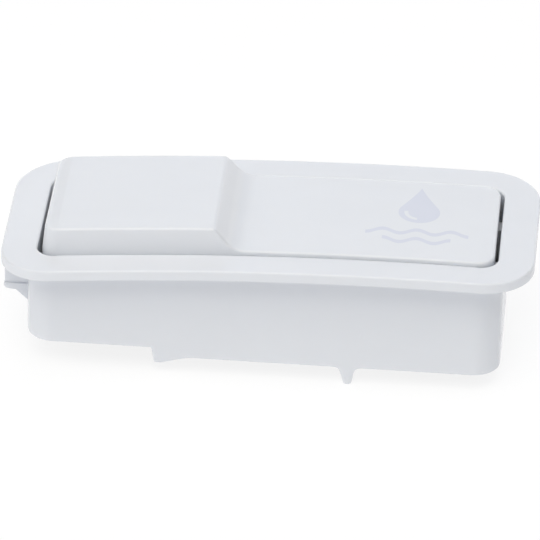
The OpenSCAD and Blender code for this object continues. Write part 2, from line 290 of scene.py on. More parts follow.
def chaikin(pts, times=2):
    for _ in range(times):
        out = [pts[0]]
        for a, b in zip(pts, pts[1:]):
            out.append((0.75 * a[0] + 0.25 * b[0], 0.75 * a[1] + 0.25 * b[1]))
            out.append((0.25 * a[0] + 0.75 * b[0], 0.25 * a[1] + 0.75 * b[1]))
        out.append(pts[-1])
        pts = out
    return pts


# ---------------------------------------------------------------- materials
class Nodes:
    """A short way to write node trees. Numbers and sockets both work as inputs."""

    def __init__(self, tree):
        self.t = tree

    def node(self, kind, **props):
        n = self.t.nodes.new(kind)
        for k, v in props.items():
            setattr(n, k, v)
        return n

    def put(self, socket, value):
        if isinstance(value, bpy.types.NodeSocket):
            self.t.links.new(value, socket)
        else:
            socket.default_value = value

    def math(self, op, a, b=0.0, c=0.0):
        n = self.node("ShaderNodeMath", operation=op)
        self.put(n.inputs[0], a)
        self.put(n.inputs[1], b)
        if op in ("MULTIPLY_ADD", "SMOOTH_MAX", "SMOOTH_MIN", "COMPARE"):
            self.put(n.inputs[2], c)
        return n.outputs[0]

    def noise(self, vector, scale, detail=2.0, rough=0.5, distort=0.0):
        n = self.node("ShaderNodeTexNoise")
        self.put(n.inputs["Vector"], vector)
        self.put(n.inputs["Scale"], scale)
        self.put(n.inputs["Detail"], detail)
        self.put(n.inputs["Roughness"], rough)
        self.put(n.inputs["Distortion"], distort)
        return n.outputs[0]

    def map(self, value, a, b, c, d, smooth=False):
        n = self.node("ShaderNodeMapRange")
        if smooth:
            n.interpolation_type = "SMOOTHSTEP"
        self.put(n.inputs[0], value)
        for i, x in enumerate((a, b, c, d)):
            self.put(n.inputs[i + 1], x)
        return n.outputs[0]

    def mix(self, fac, a, b):
        n = self.node("ShaderNodeMix", data_type="RGBA")
        self.put(n.inputs[0], fac)
        self.put(n.inputs[6], a if isinstance(a, bpy.types.NodeSocket) else (*a, 1.0))
        self.put(n.inputs[7], b if isinstance(b, bpy.types.NodeSocket) else (*b, 1.0))
        return n.outputs[2]

    def scaled(self, vector, s):
        n = self.node("ShaderNodeVectorMath", operation="MULTIPLY")
        self.put(n.inputs[0], vector)
        self.put(n.inputs[1], s)
        return n.outputs[0]

    def bump(self, height, distance, strength=1.0, normal=None):
        n = self.node("ShaderNodeBump")
        self.put(n.inputs["Strength"], strength)
        self.put(n.inputs["Distance"], distance)
        self.put(n.inputs["Height"], height)
        if normal is not None:
            self.put(n.inputs["Normal"], normal)
        return n.outputs[0]


def new_material(name):
    m = bpy.data.materials.new(name)
    m.use_nodes = True
    m.node_tree.nodes.clear()
    k = Nodes(m.node_tree)
    out = k.node("ShaderNodeOutputMaterial")
    bsdf = k.node("ShaderNodeBsdfPrincipled")
    k.t.links.new(bsdf.outputs[0], out.inputs[0])
    co = k.node("ShaderNodeTexCoord").outputs["Object"]
    return m, k, bsdf, co


def plastic(name, colour, rough=0.3, spread=0.025, tone=0.008, ripple=0.0000025, grain=0.0000006, ior=1.5, mark=None, sss=0.0):
    """Moulded plastic: faint flow tone, uneven gloss, orange-peel ripple and a fine tool grain."""
    m, k, b, co = new_material(name)
    flow = k.noise(k.scaled(co, (1.0, 2.2, 1.6)), 38.0, 3.0, 0.55, 0.6)
    fine = k.noise(co, 900.0, 2.0)
    a = tuple(c * (1 - tone) for c in colour)
    z = tuple(min(c * (1 + tone), 1.0) for c in colour)
    col = k.mix(k.map(flow, 0.3, 0.7, 0.0, 1.0), a, z)
    rg = k.math("MULTIPLY_ADD", k.map(k.noise(co, 120.0, 4.0, 0.6), 0.3, 0.7, -1.0, 1.0), spread, rough)
    rg = k.math("MULTIPLY_ADD", k.math("SUBTRACT", fine, 0.5), spread * 0.5, rg)
    if mark is not None:
        ink, ink_colour = mark(k, co)
        col = k.mix(ink, col, ink_colour)
        rg = k.math("MULTIPLY_ADD", ink, 0.03, rg)
    k.put(b.inputs["Base Color"], col)
    k.put(b.inputs["Roughness"], rg)
    n = k.bump(k.noise(co, 330.0, 1.5), ripple)
    n = k.bump(k.noise(co, 5200.0, 2.0), grain, normal=n)
    k.put(b.inputs["Normal"], n)
    b.inputs["IOR"].default_value = ior
    if sss:
        b.inputs["Subsurface Weight"].default_value = sss
        b.inputs["Subsurface Radius"].default_value = (1.0, 0.95, 0.9)
        b.inputs["Subsurface Scale"].default_value = 0.0012
    return m


def steel(name, colour, rough, stretch, scratch=0.0000015):
    m, k, b, co = new_material(name)
    s = k.scaled(co, stretch)
    lines = k.noise(s, 1500.0, 4.0, 0.65)
    cloud = k.noise(co, 260.0, 3.0)
    k.put(b.inputs["Base Color"], k.mix(k.map(cloud, 0.3, 0.7, 0.0, 1.0), tuple(c * 0.9 for c in colour), colour))
    k.put(b.inputs["Roughness"], k.math("MULTIPLY_ADD", k.math("SUBTRACT", lines, 0.5), 0.22, rough))
    k.put(b.inputs["Normal"], k.bump(lines, scratch))
    b.inputs["Metallic"].default_value = 1.0
    return m


def rubber(name):
    m, k, b, co = new_material(name)
    dust = k.map(k.noise(co, 420.0, 5.0, 0.7), 0.52, 0.78, 0.0, 1.0)
    k.put(b.inputs["Base Color"], k.mix(dust, (0.024, 0.024, 0.026), (0.055, 0.055, 0.058)))
    k.put(b.inputs["Roughness"], k.map(dust, 0.0, 1.0, 0.56, 0.78))
    n = k.bump(k.noise(co, 3800.0, 3.0), 0.00001)
    k.put(b.inputs["Normal"], k.bump(k.noise(co, 500.0, 2.0), 0.00002, normal=n))
    return m


def drop_mark(k, co):
    """A plain printed water drop over two waves, as shapes in the plane of the plate, in mm about their own middle."""
    sep = k.node("ShaderNodeSeparateXYZ")
    k.put(sep.inputs[0], k.scaled(co, (1000.0, 1000.0, 1000.0)))
    x = k.math("SUBTRACT", sep.outputs[0], 33.0)
    y = k.math("SUBTRACT", sep.outputs[1], 1.0)
    ax = k.math("ABSOLUTE", x)

    def soft(d):
        return k.map(d, -0.045, 0.045, 1.0, 0.0)

    def radius(cx, cy):
        dx, dy = k.math("SUBTRACT", x, cx), k.math("SUBTRACT", y, cy)
        return k.math("SQRT", k.math("ADD", k.math("MULTIPLY", dx, dx), k.math("MULTIPLY", dy, dy)))

    def both(a, b):
        return k.math("MULTIPLY", a, b)

    def either(a, b):
        return k.math("MAXIMUM", a, b)

    # drop: a circle with a point above it, its flanks drawn in a little
    cy, r, tip = 2.3, 4.7, 13.2
    body = soft(k.math("SUBTRACT", radius(0.0, cy), r))
    up = k.math("DIVIDE", k.math("SUBTRACT", y, cy + 1.9), tip - cy - 1.9)
    left = k.math("SUBTRACT", 1.0, k.math("MINIMUM", k.math("MAXIMUM", up, 0.0), 1.0))
    half = k.math("MULTIPLY", k.math("POWER", left, 1.18), 4.3)
    point = both(soft(k.math("SUBTRACT", ax, half)), k.math("GREATER_THAN", y, cy + 1.9))
    point = both(point, k.math("LESS_THAN", y, tip))
    drop = either(body, point)
    # a bare crescent inside it
    band = soft(k.math("SUBTRACT", k.math("ABSOLUTE", k.math("SUBTRACT", radius(0.0, cy), 2.95)), 0.45))
    crescent = both(band, both(k.math("LESS_THAN", x, -0.35), k.math("LESS_THAN", y, cy + 0.35)))
    drop = both(drop, k.math("SUBTRACT", 1.0, crescent))
    mark = drop
    for y0, width, phase in ((-6.4, 11.6, 0.0), (-10.2, 7.7, 0.0)):
        line = k.math("MULTIPLY_ADD", k.math("COSINE", k.math("MULTIPLY", x, 2 * math.pi / 7.7)), 0.85, y0)
        wave = soft(k.math("SUBTRACT", k.math("ABSOLUTE", k.math("SUBTRACT", y, line)), 0.72))
        mark = either(mark, both(wave, soft(k.math("SUBTRACT", ax, width))))
    return k.math("MULTIPLY", mark, 0.92), (0.715, 0.742, 0.835)


WHITE = (0.812, 0.834, 0.876)
housing_mat = plastic("white_moulded_housing", WHITE, rough=0.21, spread=0.02, sss=0.25)
plate_mat = plastic("white_moulded_plate", (0.814, 0.837, 0.878), rough=0.20, spread=0.02, mark=drop_mark, sss=0.25)
inner_mat = plastic("grey_acetal", (0.20, 0.21, 0.22), rough=0.45, tone=0.03, ripple=0.00002, grain=0.000005)
wheel_mat = plastic("pale_acetal_wheel", (0.52, 0.54, 0.56), rough=0.42, tone=0.02)
rod_mat = plastic("natural_acetal_rod", (0.66, 0.67, 0.66), rough=0.38, tone=0.02)
pin_mat = steel("ground_steel_pin", (0.62, 0.62, 0.63), 0.24, (1.0, 0.06, 1.0))
screw_mat = steel("plain_steel_screw", (0.60, 0.60, 0.61), 0.3, (1.0, 1.0, 0.15))
spring_mat = steel("drawn_spring_wire", (0.55, 0.55, 0.56), 0.28, (1.0, 1.0, 0.3))
rubber_mat = rubber("black_elastomer")


# ---------------------------------------------------------------- housing
def rim_line():
    """The lower edge of a long wall as (x, z), with the hooked tab and the peg."""
    z, s, p = RIM_R, STEP_X, PEG_X
    hook = [(s - 0.05, RIM_L), (s + 0.12, RIM_L - 0.25), (s + 0.45, z - 0.1), (s + 0.70, z - HOOK_H + 0.35),
            (s + 0.95, z - HOOK_H), (s + 1.6, z - HOOK_H), (s + 2.7, z - HOOK_H + 0.08), (s + 5.3, z - 0.8),
            (s + 6.9, z - 0.4), (s + 8.2, z - 0.1), (s + 9.8, z)]
    peg = [(p - 3.2, z), (p - 2.2, z - 0.3), (p - 1.72, z - 1.1), (p - 1.15, z - PEG_H + 0.85),
           (p - 0.75, z - PEG_H + 0.1), (p - 0.3, z - PEG_H - 0.0), (p + 0.3, z - PEG_H - 0.0),
           (p + 0.72, z - PEG_H + 0.12), (p + 1.0, z - PEG_H + 0.85), (p + 1.32, z - 1.1), (p + 1.8, z - 0.3), (p + 3.0, z)]
    hook, peg = chaikin(hook), chaikin(peg)
    half = BL / 2 - BR - 0.6
    xs = [(float(x), RIM_L) for x in np.linspace(-half, hook[0][0] - 0.3, 12)]
    xs += hook
    xs += [(float(x), z) for x in np.linspace(hook[-1][0] + 1.0, peg[0][0] - 1.0, 18)]
    xs += peg
    xs += [(float(x), z) for x in np.linspace(peg[-1][0] + 1.0, half, 14)]
    return np.array(xs)


def make_housing():
    line = rim_line()

    def outline(length, width, r, cx):
        """Outline whose long sides have their points at the rim line's own places along X."""
        u = (line[:, 0] - cx) / (length / 2 - r)
        return Outline(length, width, r, cx, np.concatenate([[-1.0], u, [1.0]]))

    F, O, B = outline(FL, FW, FR, 0), outline(OL, OW, ORAD, 0), outline(BL, BW, BR, BOX_X)
    line = np.vstack([[line[0, 0] - 0.6, RIM_L], line, [line[-1, 0] + 0.6, RIM_R]])
    m = len(line)
    # rim height and the direction square to the rim, at each point of the ring
    t = np.gradient(line, axis=0)
    nrm = np.column_stack([t[:, 1], -t[:, 0]])
    nrm /= np.linalg.norm(nrm, axis=1, keepdims=True)
    zr = np.where(B.p[:, 0] < 0, RIM_L, RIM_R).astype(float)
    nx, nz = np.zeros(len(zr)), -np.ones(len(zr))
    back = m + NC - 1 + NY + 1 + NC - 1
    for i in range(m):
        for j in (i, back + m - 1 - i):
            zr[j], nx[j], nz[j] = line[i, 1], nrm[i, 0], nrm[i, 1]
    rings = []
    # top inner edge
    rf = 0.5
    for a in (0, 18, 36, 54, 72, 90):
        c, s = math.cos(math.radians(a)), math.sin(math.radians(a))
        xy = O.at(-rf * (1 - c))
        rings.append(ring3(xy, top(xy[:, 0]) - rf * (1 - s)))
    # top of the flange
    ro = 0.42
    a, b = O.at(-rf), F.at(ro)
    for q in (0.06, 0.25, 0.5, 0.75, 0.94):
        xy = a + (b - a) * q
        rings.append(ring3(xy, top(xy[:, 0])))
    # outer edge, rounded above and below
    for ang in (90, 72, 54, 36, 18, 0):
        c, s = math.cos(math.radians(ang)), math.sin(math.radians(ang))
        xy = F.at(ro * (1 - c))
        rings.append(ring3(xy, top(xy[:, 0]) - ro * (1 - s)))
    rl = 0.25
    for ang in (0, 22.5, 45, 67.5, 90):
        c, s = math.cos(math.radians(ang)), math.sin(math.radians(ang))
        xy = F.at(rl * (1 - c))
        rings.append(ring3(xy, top(xy[:, 0]) - FT + rl * (1 - s)))
    # underside
    w = 0.45
    a, b = F.at(rl), B.at(-w)
    for q in (0.1, 0.5, 0.9):
        xy = a + (b - a) * q
        rings.append(ring3(xy, top(xy[:, 0]) - FT))
    for ang in (0, 30, 60, 90):
        c, s = math.cos(math.radians(ang)), math.sin(math.radians(ang))
        xy = B.at(-w * (1 - s))
        rings.append(ring3(xy, top(xy[:, 0]) - FT - w * (1 - c)))
    # outer wall, a little drawn in towards the rim
    draft, bv = 0.02, 0.22
    hi = rings[-1]
    lo = ring3(B.at(draft), zr - nz * bv)
    lo[:, 0] -= nx * bv
    for q in (0.03, 0.3, 0.6, 0.85):
        rings.append(hi + (lo - hi) * q)
    for ang in (0, 30, 60, 90):
        c, s = math.cos(math.radians(ang)), math.sin(math.radians(ang))
        r = ring3(B.at(draft + bv * (1 - c)), zr - nz * bv * (1 - s))
        r[:, 0] -= nx * bv * (1 - s)
        rings.append(r)
    # rim and inner wall
    bi = 0.16
    for ang in (90, 45, 0):
        c, s = math.cos(math.radians(ang)), math.sin(math.radians(ang))
        r = ring3(O.at(-bi * (1 - c)), zr - nz * bi * (1 - s))
        r[:, 0] -= nx * bi * (1 - s)
        rings.append(r)
    lo, hi = rings[-1], rings[0]
    for q in (0.1, 0.35, 0.6, 0.85, 0.97):
        rings.append(lo + (hi - lo) * q)
    h = Build().add(ring_loft(rings, closed=True))

    # ledge, webs and gussets at the left end
    x0, x1, lz = BOX_X - BL / 2 - LEDGE_OUT, BOX_X - BL / 2 + 0.6, LEDGE_Z
    h.add(extruded([(x0 + 0.25, lz + 1.6), (x0, lz + 1.35), (x0, lz + 0.9), (x0 + 0.5, lz + 0.25), (x0 + 1.6, lz),
                    (x1, lz), (x1, lz + 1.6)], "y", -12, 12, 0.14))
    for s in (-1, 1):
        y = s * 10.8
        h.add(extruded([(x0 + 0.2, lz + 1), (x0 + 0.2, float(top(x0)) - FT + 0.6), (x1, float(top(x1)) - FT + 0.6), (x1, lz + 1)],
                       "y", y - 0.8, y + 0.8, 0.12))
        h.add(extruded([(x0 + 2.5, lz + 0.4), (x0 + 2.5, lz - 0.15), (x1 - 0.6, lz - 3.1), (x1, lz - 3.1), (x1, lz + 0.4)],
                       "y", y - 0.8, y + 0.8, 0.12))
    # thin ribs just under the edge of the opening, which close the gap along the plate to a shallow groove
    for s in (-1, 1):
        sect = []
        for x in np.linspace(-OL / 2 + ORAD + 0.3, OL / 2 - ORAD - 0.3, 40):
            t, yi = float(top(x)), OW / 2 - 0.48
            sect.append([(x, s * y, t - d) for y, d in ((OW / 2 + 0.3, 1.35), (yi + 0.1, 1.35), (yi, 1.25), (yi, 0.46),
                                                        (yi + 0.08, 0.38), (OW / 2 + 0.3, 0.38))])
        h.add(ring_loft(sect, caps=True))
    # bearings of the hinge pin
    cx, cz, xw = PIN_X, PIN_Z, OL / 2 + 0.4
    poly = [(cx + 1.25, cz - 2.2), (cx + 1.78, cz - 3.2), (cx + 2.0, cz - 3.2), (xw, cz - 9), (xw, cz + 1.3)]
    poly += [(cx + 3.2 * math.cos(math.radians(a)), cz + 3.2 * math.sin(math.radians(a))) for a in np.linspace(24, 240.7, 28)]
    poly += [(cx - 1.25, cz - 2.2)]
    poly += [(cx + 1.55 * math.cos(math.radians(a)), cz + 1.55 * math.sin(math.radians(a))) for a in np.linspace(216.25, -36.25, 30)]
    for y in (7.0, -10.6):
        h.add(extruded(poly, "y", y, y + 3.6, 0.1, 1, 40))
    # pillars for the bridge's screws, and the lugs it is pushed up against
    yw = OW / 2 + 0.3
    for s in (-1, 1):
        arc = [(-18 + 3 * math.cos(math.radians(a)), s * (OW / 2 - 3 - 3 * math.sin(math.radians(a)))) for a in np.linspace(0, 180, 25)]
        h.add(extruded([(-15, s * yw)] + arc + [(-21, s * yw)], "z", -12, -8, 0.15, 2, 40))
        for x in (-25.5, -8.5):
            y0, y1 = sorted((s * (OW / 2 - 1.2), s * yw))
            h.add(block(x - 1.5, x + 1.5, y0, y1, -12, -10.5, 0.12))
    return h.make("housing_shell", "base", "housing_plastic", housing_mat, ["housing"])


# ---------------------------------------------------------------- push plate
def plate_profile():
    """Top of the plate along X as (x, z), left to right: pad, rounded edge, slope, cove, flat part."""
    a = np.array([PAD_X, float(top(PAD_X)) + PAD_H])
    bx = PAD_X + RAMP_RUN
    b = np.array([bx, float(top(bx)) + FLAT_H + 1])
    d = (b - a) / np.linalg.norm(b - a)
    n = np.array([-d[1], d[0]])
    # the cove's middle: COVE_R off the slope's line and off the flat part's arch
    arch = np.array([CROWN, ARCH_C])
    p = a + COVE_R * n - arch
    pd = float(p @ d)
    cove = arch + p + d * (-pd - math.sqrt(pd * pd - float(p @ p) + (ARCH_R + FLAT_H + COVE_R) ** 2))
    pts = []
    # rounded edge between the pad's top and the slope
    e = 1.35
    t0 = np.array([1.0, (float(top(PAD_X)) - float(top(PAD_X - 1)))])
    t0 /= np.linalg.norm(t0)
    turn = math.acos(float(np.clip(t0 @ d, -1, 1)))
    k = e * math.tan(turn / 2)
    start = a - t0 * k
    c = start - np.array([-t0[1], t0[0]]) * e
    a0 = math.atan2(t0[0], -t0[1])
    for i in range(9):
        q = a0 - turn * i / 8
        pts.append(c + e * np.array([math.cos(q), math.sin(q)]))
    # slope, then the cove down to the flat part
    a1 = math.atan2(-n[1], -n[0]) + 2 * math.pi
    a2 = math.atan2(arch[1] - cove[1], arch[0] - cove[0]) + 2 * math.pi
    for q in np.linspace(a1, a2, 16):
        pts.append(cove + COVE_R * np.array([math.cos(q), math.sin(q)]))
    pts = np.array(pts)
    return pts, start[0], pts[-1][0]


def make_plate():
    prof, xa, xb = plate_profile()
    cx, length = (PL0 + PL1) / 2, PL1 - PL0
    half = length / 2 - PR
    xs = list(np.linspace(cx - half, xa - 1.0, 30)) + [xa - 0.4]
    mid = []
    for p, q in zip(prof, prof[1:]):
        steps = max(1, int(round(np.linalg.norm(q - p) / 0.45)))
        mid += [p + (q - p) * i / steps for i in range(steps)]
    mid.append(prof[-1])
    xs += [float(p[0]) for p in mid] + [xb + 0.35, xb + 1.0]
    xs += list(np.linspace(xb + 2.2, cx + half, 34))
    xs = np.array(xs)
    u = (xs - cx) / half
    P = Outline(length, PW, PR, cx, u)
    m = len(u)

    def surface(x):
        x = np.asarray(x, float)
        z = np.where(x <= xa, top(x) + PAD_H, top(x) + FLAT_H)
        inside = (x > xa) & (x < xb)
        return np.where(inside, np.interp(x, prof[:, 0], prof[:, 1]), z)

    xb0 = P.p[:, 0]
    H = surface(xb0)
    slope = (surface(xb0 + 0.02) - surface(xb0 - 0.02)) / 0.04
    corner = (xb0 < cx - half - 1e-6) | (xb0 > cx + half + 1e-6)
    slope = np.where(corner, 0.0, slope)
    # the direction square to the profile at each point, from its slope
    NXv, NZv = -slope / np.sqrt(1 + slope ** 2), 1 / np.sqrt(1 + slope ** 2)
    r_pad, r_flat = 0.62, 0.58
    w = np.clip((xb0 - xa) / (xb - xa), 0, 1)
    w = w * w * (3 - 2 * w)
    rr = r_pad + (r_flat - r_pad) * w
    # the pad's sides lean in with their height above the flange
    lean = 0.103 * np.maximum(H - top(xb0) - 0.35, 0.0)
    rings = []
    bot = top(xb0) - SKIRT
    be = 0.2
    th = 1.6
    ceil = np.where(xb0 < PAD_X - 2.35, top(xb0) + PAD_H - 2.0, top(xb0) + FLAT_H - 2.0)
    # ceiling, inner skirt wall, bottom, outer wall, rounded top edge, top
    inner_top = ring3(P.at(th + 0.25), ceil)
    inner_low = ring3(P.at(th), bot + 0.15)
    rings.append(inner_top)
    for q in (0.1, 0.5, 0.9, 1.0):
        rings.append(inner_top + (inner_low - inner_top) * q)
    rings.append(ring3(P.at(th - 0.15), bot))
    rings.append(ring3(P.at(be), bot))
    rings.append(ring3(P.at(be * 0.3), bot + be * 0.3))
    rings.append(ring3(P.at(0.0), bot + be))
    low = rings[-1]
    mid_z = ring3(P.at(0.0), top(xb0) - 0.1)
    first = ring3(P.at(lean), H - rr * NZv)
    first[:, 0] -= rr * NXv
    for q in (0.5, 0.97):
        rings.append(low + (mid_z - low) * q)
    for q in (0.03, 0.35, 0.7, 0.95):
        rings.append(mid_z + (first - mid_z) * q)
    for ang in (0, 15, 30, 45, 60, 75, 90):
        c, s = math.cos(math.radians(ang)), math.sin(math.radians(ang))
        r = ring3(P.at(lean + rr * (1 - c)), H - rr * (1 - s) * NZv)
        r[:, 0] -= rr * (1 - s) * NXv
        rings.append(r)
    inset = ring3(P.at(lean + rr + 0.35), H)
    rings.append(inset)
    v, f = ring_loft(rings)
    n = len(inset)
    nv, nf = cap(rings[0], 0, m, len(v))
    v, f = v + nv, f + nf
    nv, nf = cap(rings[-1], (len(rings) - 1) * n, m, len(v))
    v, f = v + nv, f + nf
    p = Build().add((v, f))

    # ribs under the flat part and under the pad
    def rib_x(y, xs_, up):
        t = 0.7
        sect = []
        for x in xs_:
            z0, z1 = float(top(x)) - SKIRT + 0.6, float(top(x)) + up
            sect.append([(x, y - t, z0 + 0.1), (x, y - t + 0.1, z0), (x, y + t - 0.1, z0), (x, y + t, z0 + 0.1), (x, y + t, z1), (x, y - t, z1)])
        return ring_loft(sect, caps=True)

    for s in (-1, 1):
        p.add(rib_x(s * 5.5, np.linspace(PAD_X - 0.5, 42, 20), FLAT_H - 1.2))
        p.add(rib_x(s * 7.8, np.linspace(PL0 + 1, PAD_X - 0.8, 14), PAD_H - 1.7))
    for x in (4, 17, 30):
        p.add(block(x - 0.7, x + 0.7, -PW / 2 + 1, PW / 2 - 1, float(top(x)) - SKIRT + 0.7, float(top(x)) - 0.9, 0.1))
    # spring seat and spigot, stop posts
    zc = float(top(SPRING_X)) + PAD_H - 1.8
    p.add(lathe([(0, zc), (5.6, zc), (5.6, 1.7), (5.45, 1.5), (3.5, 1.5), (3.3, 1.3), (3.3, -1.15), (3.0, -1.5), (0, -1.5)], SPRING_X, 0))
    for s in (-1, 1):
        p.add(block(-26.6, -24.6, s * 11 - 1.5, s * 11 + 1.5, -6.4, float(top(-26)) + PAD_H - 1.8, 0.2))
    # ears round the hinge pin
    na = 72
    ang = [2 * math.pi * i / na for i in range(na)]
    corners = [(-3.2, 0.0), (-4.8, 5.6), (3.2, 5.6), (3.2, 0.0)]

    def reach(a):
        c, s = math.cos(a), math.sin(a)
        best = 3.2
        for (x1, z1), (x2, z2) in zip(corners, corners[1:]):
            dx, dz = x2 - x1, z2 - z1
            det = c * dz - s * dx
            if abs(det) < 1e-9:
                continue
            t = (x1 * dz - z1 * dx) / det
            q = (x1 * s - z1 * c) / det if abs(det) > 1e-9 else -1
            if t > 0 and -1e-9 <= q <= 1 + 1e-9:
                best = max(best, t)
        return best

    out = [(PIN_X + reach(a) * math.cos(a), PIN_Z + reach(a) * math.sin(a)) for a in ang]
    bore = [(PIN_X + 1.51 * math.cos(a), PIN_Z + 1.51 * math.sin(a)) for a in ang]
    for y in (11.1, -14.1):
        p.add(annular(out, bore, "y", y, y + 3.0, 0.12))
    # yoke round the adjusting wheel
    zt = float(top(ROD_X)) + PAD_H - 1.8
    hole = []
    for a in ang:
        c, s = math.cos(a), math.sin(a)
        hole.append((ROD_X + min(3.08, 2.48 / max(abs(s), 1e-6)) * c, min(3.08, 2.48 / max(abs(s), 1e-6)) * s))
    boss = [(ROD_X + 5.4 * math.cos(a), 5.4 * math.sin(a)) for a in ang]
    p.add(annular(boss, hole, "z", -3.2, zt, 0.15))
    xw = ROD_X - 7 - 0.7
    # parts that run into each other end inside, so that no two faces lie in one plane
    p.add(block(xw - 0.8, ROD_X - 5.0, -4, 4, -3.14, -1.4, 0.12))
    p.add(block(xw - 1.6, xw, -6, 6, -10.4, zt, 0.15))
    arm = [(xw - 0.8, -5), (xw - 0.8, 5), (ROD_X - 3.6, 5)] + [(ROD_X - 3.4 * 1.0, 3.6)] + [(ROD_X - 3.4, -3.6), (ROD_X - 3.6, -5)]
    p.add(extruded(arm, "z", -10.34, -8.26, 0.12, 2, 40))
    disc = [(ROD_X + 5.0 * math.cos(a), 5.0 * math.sin(a)) for a in ang]
    p.add(annular(disc, hole, "z", -10.4, -8.2, 0.15))
    # catch arms
    ax, at, bt = -9.6, 1.6, -15.25
    zt = float(top(ax)) + FLAT_H - 0.5
    hook = [(ax, zt - 1.2), (ax - 0.8, zt - 1.2), (ax, zt - 3.4), (ax, bt), (ax - 1.8, bt), (ax - 1.8, bt - 0.5),
            (ax - 0.1, bt - 2.1), (ax + at, bt - 2.1), (ax + at, zt - 3.4), (ax + at + 0.8, zt - 1.2)]
    for s in (-1, 1):
        p.add(extruded(hook, "y", s * 9 - 2.5, s * 9 + 2.5, 0.12, 2, 25))
    return p.make("push_plate_shell", "plate", "plate_plastic", plate_mat, ["push_plate"])


# ---------------------------------------------------------------- inner pieces
def make_spring():
    """Wire swept along a helix with closed and ground end turns."""
    n_turn, r, wr, z0, z1 = 7, 4.1, 0.4, -12.0, 1.5
    lo, hi, end = z0 + wr + 0.02, z1 - wr - 0.02, 2 * wr + 0.1
    seg, side = 56, 14
    rings = []
    for i in range(n_turn * seg + 1):
        t = i / seg
        if t <= 1:
            z = lo + end * t
        elif t >= n_turn - 1:
            z = hi - end * (n_turn - t)
        else:
            s = (t - 1) / (n_turn - 2)
            z = lo + end + (hi - lo - 2 * end) * s
        a = 2 * math.pi * t
        ring = []
        for j in range(side):
            b = 2 * math.pi * j / side
            rad = r + wr * math.cos(b)
            ring.append((SPRING_X + rad * math.cos(a), rad * math.sin(a), min(max(z + wr * math.sin(b), z0 + 0.12), z1 - 0.12)))
        rings.append(ring)
    s = Build().add(ring_loft(rings, caps=True)).make("return_spring_coil", "base", "spring_steel", spring_mat, ["return_spring"], 50)
    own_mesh(s)
    return s


def make_wheel():
    n, r, h, z = 24 * 12, 7.0, 4.5, -7.95
    ang = np.arange(n) * 2 * math.pi / n
    ph = np.abs(((np.arange(n) % 12) - 6) / 6.0)             # 1 at a groove, 0 at a crest
    cut = 0.40 * np.clip((ph - 0.45) / 0.55, 0, 1) ** 1.3 + 0.03 * ph

    def ring(rad, zz, depth):
        q = rad - depth * cut
        return np.column_stack([ROD_X + q * np.cos(ang), q * np.sin(ang), np.full(n, zz)])

    rings = [ring(3.06, z + 0.25, 0), ring(3.3, z, 0), ring(4.4, z, 0), ring(4.6, z + 0.3, 0), ring(5.75, z + 0.3, 0),
             ring(5.95, z, 0), ring(r - 0.35, z, 0.4), ring(r - 0.08, z + 0.12, 0.9), ring(r, z + 0.35, 1), ring(r, z + h / 2, 1),
             ring(r, z + h - 0.35, 1), ring(r - 0.08, z + h - 0.12, 0.9), ring(r - 0.35, z + h, 0.4), ring(5.95, z + h, 0),
             ring(5.75, z + h - 0.3, 0), ring(4.6, z + h - 0.3, 0), ring(4.4, z + h, 0), ring(3.3, z + h, 0), ring(3.06, z + h - 0.25, 0)]
    return Build().add(ring_loft(rings, closed=True)).make("adjusting_wheel_knurled", "wheel", "inner_plastic", wheel_mat, ["adjusting_wheel"], 38)


def make_rod():
    """Threaded rod with two flats, pitch 1.25."""
    n, pitch, r, core = 60, 1.25, 2.98, 2.62
    z0, z1 = -18.5, 1.0
    ang = np.arange(n) * 2 * math.pi / n
    zs = np.concatenate([[z0, z0 + 0.02], np.arange(z0 + 0.1, z1 - 0.05, pitch / 10), [z1 - 0.02, z1]])
    rings = []
    for z in zs:
        ph = ((z - z0) / pitch - ang / (2 * math.pi)) % 1.0
        tri = np.abs(ph * 2 - 1)
        rad = core + (r - core) * np.clip((tri - 0.2) / 0.5, 0, 1)
        fade = min(1.0, (z - z0) / 0.5, (z1 - z) / 0.5)
        rad = np.minimum(rad, core - 0.12 + (r - core + 0.12) * fade)
        rad = np.minimum(rad, 2.4 / np.maximum(np.abs(np.sin(ang)), 1e-6))
        rings.append(np.column_stack([ROD_X + rad * np.cos(ang), rad * np.sin(ang), np.full(n, z)]))
    return Build().add(ring_loft(rings, caps=True)).make("pusher_rod_threaded", "pusher", "rod_plastic", rod_mat, ["pusher_rod"], 40)


def make_tip():
    """Rubber cap on the rod's end, with a rolled edge and two shallow grip rings."""
    z = -20.5
    prof = [(0, z), (3.25, z), (3.7, z + 0.12), (4.05, z + 0.42), (4.2, z + 0.85), (4.2, z + 1.45), (4.08, z + 1.6), (4.08, z + 1.8),
            (4.2, z + 1.95), (4.2, z + 2.5), (4.08, z + 2.65), (4.08, z + 2.85), (4.2, z + 3.0), (4.2, z + 3.9), (4.1, z + 4.3),
            (3.85, z + 4.62), (3.5, z + 4.8), (3.12, z + 4.8), (3.02, z + 4.7), (3.02, z + 2.0), (0, z + 2.0)]
    return Build().add(lathe(prof, ROD_X, 0, 72)).make("pusher_tip_cap", "pusher", "buffer_rubber", rubber_mat, ["pusher_tip"], 45)


def make_buffer(s, name):
    """Small rubber pad with three grooves on its face."""
    x0, x1, z0, z1 = -14.8, -10.15, -15.2, -14.0
    prof = [(x0, z1), (x0, z0)]
    for c in (-13.6, -12.475, -11.35):
        prof += [(c - 0.22, z0), (c - 0.1, z0 + 0.16), (c + 0.1, z0 + 0.16), (c + 0.22, z0)]
    prof += [(x1, z0), (x1, z1)]
    return Build().add(extruded(prof, "y", s * 9 - 2.6, s * 9 + 2.6, 0.1, 2, 50)).make(name + "_pad", "base", "buffer_rubber", rubber_mat, [name], 45)


make_housing()
make_plate()
make_spring()
make_wheel()
make_rod()
make_tip()
make_buffer(-1, "stop_buffer_front")
make_buffer(1, "stop_buffer_rear")

